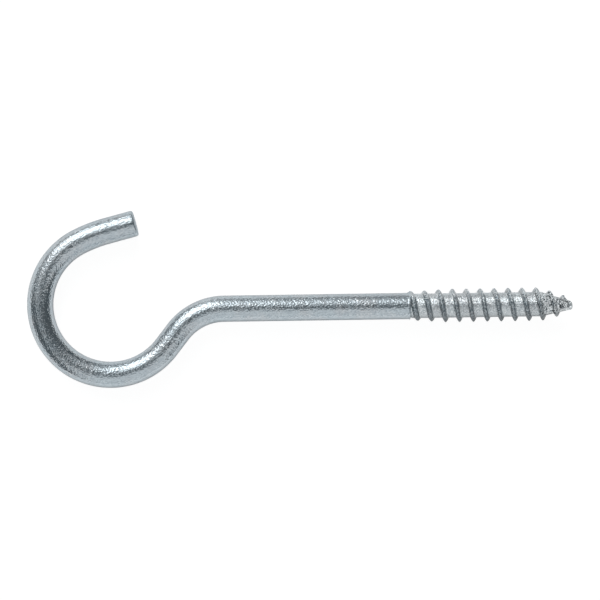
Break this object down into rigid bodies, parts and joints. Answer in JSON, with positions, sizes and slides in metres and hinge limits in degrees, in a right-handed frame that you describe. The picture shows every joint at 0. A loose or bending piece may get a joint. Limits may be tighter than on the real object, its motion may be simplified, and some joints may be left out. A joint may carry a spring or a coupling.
{
  "type": "screw hook",
  "caption": "Open screw hook of bent round wire, with a plain shank and a coarse wood thread ending in a blunt point.",
  "frame": {"origin": "on the shank's axis at the shoulder, where the plain wire ends and the thread begins", "axes": "+X along the shank towards the point, +Y across the hook's plane towards its open lip, +Z square to that plane; the hook lies flat on -Z"},
  "size_m": [0.1195, 0.0387, 0.0074],
  "materials": {
    "zinc_plate": "bright bluish zinc plate over cold-drawn and rolled steel wire, slightly grainy"
  },
  "bodies": {
    "root": {"screw_hook": "zinc_plate"}
  },
  "joints": []
}
